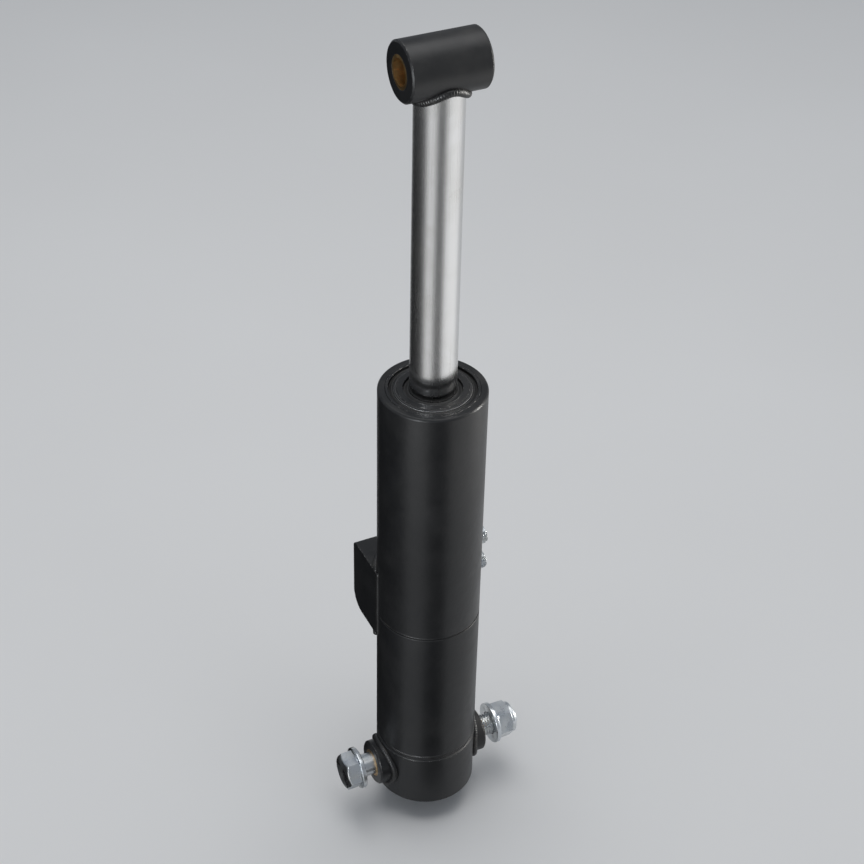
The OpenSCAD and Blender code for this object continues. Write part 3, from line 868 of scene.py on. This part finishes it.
def make_bolt():
    lowest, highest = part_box("pivot_bolt")
    across = highest.z * 2
    head_end = lowest.x + BOLT_HEAD_H
    thread_start = highest.x - BOLT_THREAD_LEN
    overlap = 2 * MM
    washer_face = 0.4 * MM
    head = hexagon(across, -head_end + washer_face, -lowest.x, 0.0, washer_face)
    shank = lathe(
        rounded(
            [
                (0, head_end - overlap, 0), (BOLT_R, head_end - overlap, 0),
                (BOLT_R, thread_start, 0.5 * MM), (BOLT_R - 1 * MM, thread_start + 1.5 * MM, 0),
                (0, thread_start + 1.5 * MM, 0),
            ],
            0.3 * MM,
        ),
        96,
    )
    screw = thread(BOLT_R, thread_start, highest.x, BOLT_PITCH, BOLT_THREAD_DEPTH)
    shape = join_shapes(placed(head, AGAINST_X), placed(shank, ALONG_X), placed(screw, ALONG_X))
    stand_for(piece("pivot_bolt_forged", *shape, "pivot_bolt"), "pivot_bolt")


def make_washers():
    shapes = []
    for side in (-1, 1):
        inner, outer = sorted((side * WASHER_IN, side * (WASHER_IN + WASHER_T)))
        outline = rounded(
            [(WASHER_BORE_R, inner), (WASHER_R, inner), (WASHER_R, outer), (WASHER_BORE_R, outer)],
            0.4 * MM,
        )
        shapes.append(placed(lathe(outline, 128), ALONG_X))
    stand_for(piece("pivot_washers_stamped", *join_shapes(*shapes), "pivot_washers"), "pivot_washers")


def make_nut():
    """A lock nut: a hexagon with a round collar that is rolled in over the nylon ring."""
    lowest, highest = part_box("pivot_nut")
    across = highest.z * 2
    collar_r = across / 2 - 0.6 * MM
    hex_top = lowest.x + NUT_HEX_H
    body = hexagon(across, lowest.x, hex_top, NUT_BORE_R, 0.0, True)
    seat_r = high("pivot_nut_insert", Z) + 0.02 * MM
    lip_r = high("pivot_nut_insert", Z) - 0.6 * MM
    lip_low = highest.x - 0.45 * MM
    collar = lathe(
        rounded(
            [
                (seat_r, hex_top - 0.5 * MM, 0), (collar_r, hex_top - 0.5 * MM, 0),
                (collar_r, highest.x - 0.9 * MM, 0.8 * MM), (collar_r - 1.2 * MM, highest.x, 0.5 * MM),
                (lip_r, highest.x, 0.2 * MM), (lip_r, lip_low, 0.1 * MM), (seat_r, lip_low, 0),
            ],
            0.2 * MM,
        ),
        128,
    )
    shape = placed(join_shapes(body, collar), ALONG_X)
    stand_for(piece("pivot_nut_forged", *shape, "pivot_nut"), "pivot_nut")


def make_adapter(node):
    """A hose adapter: thread into the block, hexagon, neck, and thread with a cone for the hose."""
    lowest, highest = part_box(node)
    at = Vector((0, PORT_Y, PORT_Z[node]))
    face = BARREL_R + PORT_SEAL_T
    hex_end = face + ADAPTER_HEX_H
    end = highest.x
    body = hexagon(ADAPTER_ACROSS, face, hex_end, PIPE_BORE_R, 0.0, True)
    neck_r = PORT_THREAD_R - 1.1 * MM
    neck_low, neck_high = hex_end - 1 * MM, hex_end + 2.5 * MM
    neck = lathe(
        rounded(
            [
                (PIPE_BORE_R, neck_low, 0), (neck_r, neck_low, 0),
                (neck_r, neck_high, 0), (PIPE_BORE_R, neck_high, 0),
            ],
            0.2 * MM,
        ),
        96,
    )
    screw_low = hex_end + 2 * MM
    mouth = [(PIPE_BORE_R + 2 * MM, end), (PIPE_BORE_R, end - 2.6 * MM), (PIPE_BORE_R, screw_low)]
    screw = thread(PORT_THREAD_R, screw_low, end, PORT_PITCH, 0.86 * MM, mouth)
    root_low, root_high = lowest.x, face + 0.2 * MM
    drill = [(PIPE_BORE_R, root_high), (PIPE_BORE_R, root_low)]
    root = thread(PORT_THREAD_R - PORT_THREAD_PLAY, root_low, root_high, PORT_PITCH, 0.8 * MM, drill)
    shape = placed(join_shapes(body, neck, screw, root), ALONG_X, at)
    stand_for(piece(node + "_machined", *shape, node), node)


make_bolt()
make_washers()
make_nut()
make_adapter("extend_adapter")
make_adapter("retract_adapter")

# ---- stage: pale floor and soft studio light ----

# The floor lies 1 mm below the lowest point that the base's corner reaches as it swings
SWING_REACH = math.hypot(BARREL_R, BASE_LOW)
FLOOR_Z = -SWING_REACH - 1 * MM
FLOOR_HALF = 8.0
CARD_LIFT = 2 * MM
# A point on the rod, which both upright strip lights aim at
STRIP_AIM = (0, 0, 0.46)
STRIP_HEIGHT = 0.9
WARM = (1.0, 0.98, 0.94)
COOL = (0.94, 0.97, 1.0)
# How far out on the floor the part's upright faces mirror it: the whole part's, and the rod's alone
ALL_NEAR, ALL_FAR = 0.07, 2.6
ROD_NEAR, ROD_FAR = 0.42, 1.3


def make_floor():
    mesh = bpy.data.meshes.new("floor")
    corners = [(-1, -1), (1, -1), (1, 1), (-1, 1)]
    vertices = [(x * FLOOR_HALF, y * FLOOR_HALF, FLOOR_Z) for x, y in corners]
    mesh.from_pydata(vertices, [], [(0, 1, 2, 3)])
    floor = bpy.data.objects.new("floor", mesh)
    bpy.context.scene.collection.objects.link(floor)
    mesh.materials.append(floor_material())
    return floor


def make_card(name, near, far, left_deg, right_deg, glow=0.0, steps=24):
    """A card on the floor round the object, seen only in reflections. It is black unless it glows.

    Its angles are measured at the object from the camera's direction, and grow to the camera's right.
    """
    towards_camera = math.atan2(CAMERA_AT.y, CAMERA_AT.x)
    vertices, faces = [], []
    for i in range(steps + 1):
        a = towards_camera + math.radians(left_deg + (right_deg - left_deg) * i / steps)
        for r in (near, far):
            vertices.append((r * math.cos(a), r * math.sin(a), FLOOR_Z + CARD_LIFT))
        if i:
            faces.append((2 * i - 2, 2 * i - 1, 2 * i + 1, 2 * i))
    mesh = bpy.data.meshes.new(name)
    mesh.from_pydata(vertices, [], faces)
    card = bpy.data.objects.new(name, mesh)
    bpy.context.scene.collection.objects.link(card)
    face = Shader(
        name,
        Base_Color=grey(0.01),
        Roughness=1.0,
        Specular_IOR_Level=0.0,
        Emission_Color=grey(1.0),
        Emission_Strength=glow,
    )
    mesh.materials.append(face.material)
    card.visible_camera = False
    card.visible_diffuse = False
    card.visible_shadow = False


def make_light(name, at, aim, width, height, power, tint=(1.0, 1.0, 1.0)):
    data = bpy.data.lights.new(name, "AREA")
    data.shape = "RECTANGLE"
    data.size, data.size_y = width, height
    data.energy = power
    data.color = tint
    light = bpy.data.objects.new(name, data)
    bpy.context.scene.collection.objects.link(light)
    light.location = at
    light.visible_camera = False
    light.rotation_mode = "QUATERNION"
    light.rotation_quaternion = (Vector(aim) - Vector(at)).to_track_quat("-Z", "Y")
    return light


def keep_off(unlit, *lights):
    """These lights don't reach this object, so a strip near the floor leaves no bright patch on it."""
    shut_out = bpy.data.collections.new("not_lit_by_strips")
    shut_out.objects.link(unlit)
    shut_out.collection_objects[0].light_linking.link_state = "EXCLUDE"
    for light in lights:
        light.light_linking.receiver_collection = shut_out


def make_world():
    world = bpy.data.worlds.new("studio")
    bpy.context.scene.world = world
    world.use_nodes = True
    background = world.node_tree.nodes["Background"]
    background.inputs["Color"].default_value = (0.85, 0.91, 1.0, 1)
    background.inputs["Strength"].default_value = 0.32


floor = make_floor()
make_world()
make_card("flag_front", ALL_NEAR, ALL_FAR, left_deg=-6, right_deg=36)
make_card("flag_left", ALL_NEAR, ALL_FAR, left_deg=-150, right_deg=-50)
make_card("card_left", ROD_NEAR, ROD_FAR, left_deg=-50, right_deg=-6, glow=0.95)
make_card("card_right", ROD_NEAR, ROD_FAR, left_deg=36, right_deg=115, glow=1.1)
key = make_light("key", (1.22, -0.38, 0.50), STRIP_AIM, 0.10, STRIP_HEIGHT, power=20.0, tint=WARM)
fill = make_light("fill", (-1.05, -0.73, 0.50), STRIP_AIM, 0.12, STRIP_HEIGHT, power=14.0, tint=COOL)
make_light("top", (0.1, 0.2, 2.2), (0, 0, 0), width=1.8, height=1.8, power=26.0)
keep_off(floor, key, fill)
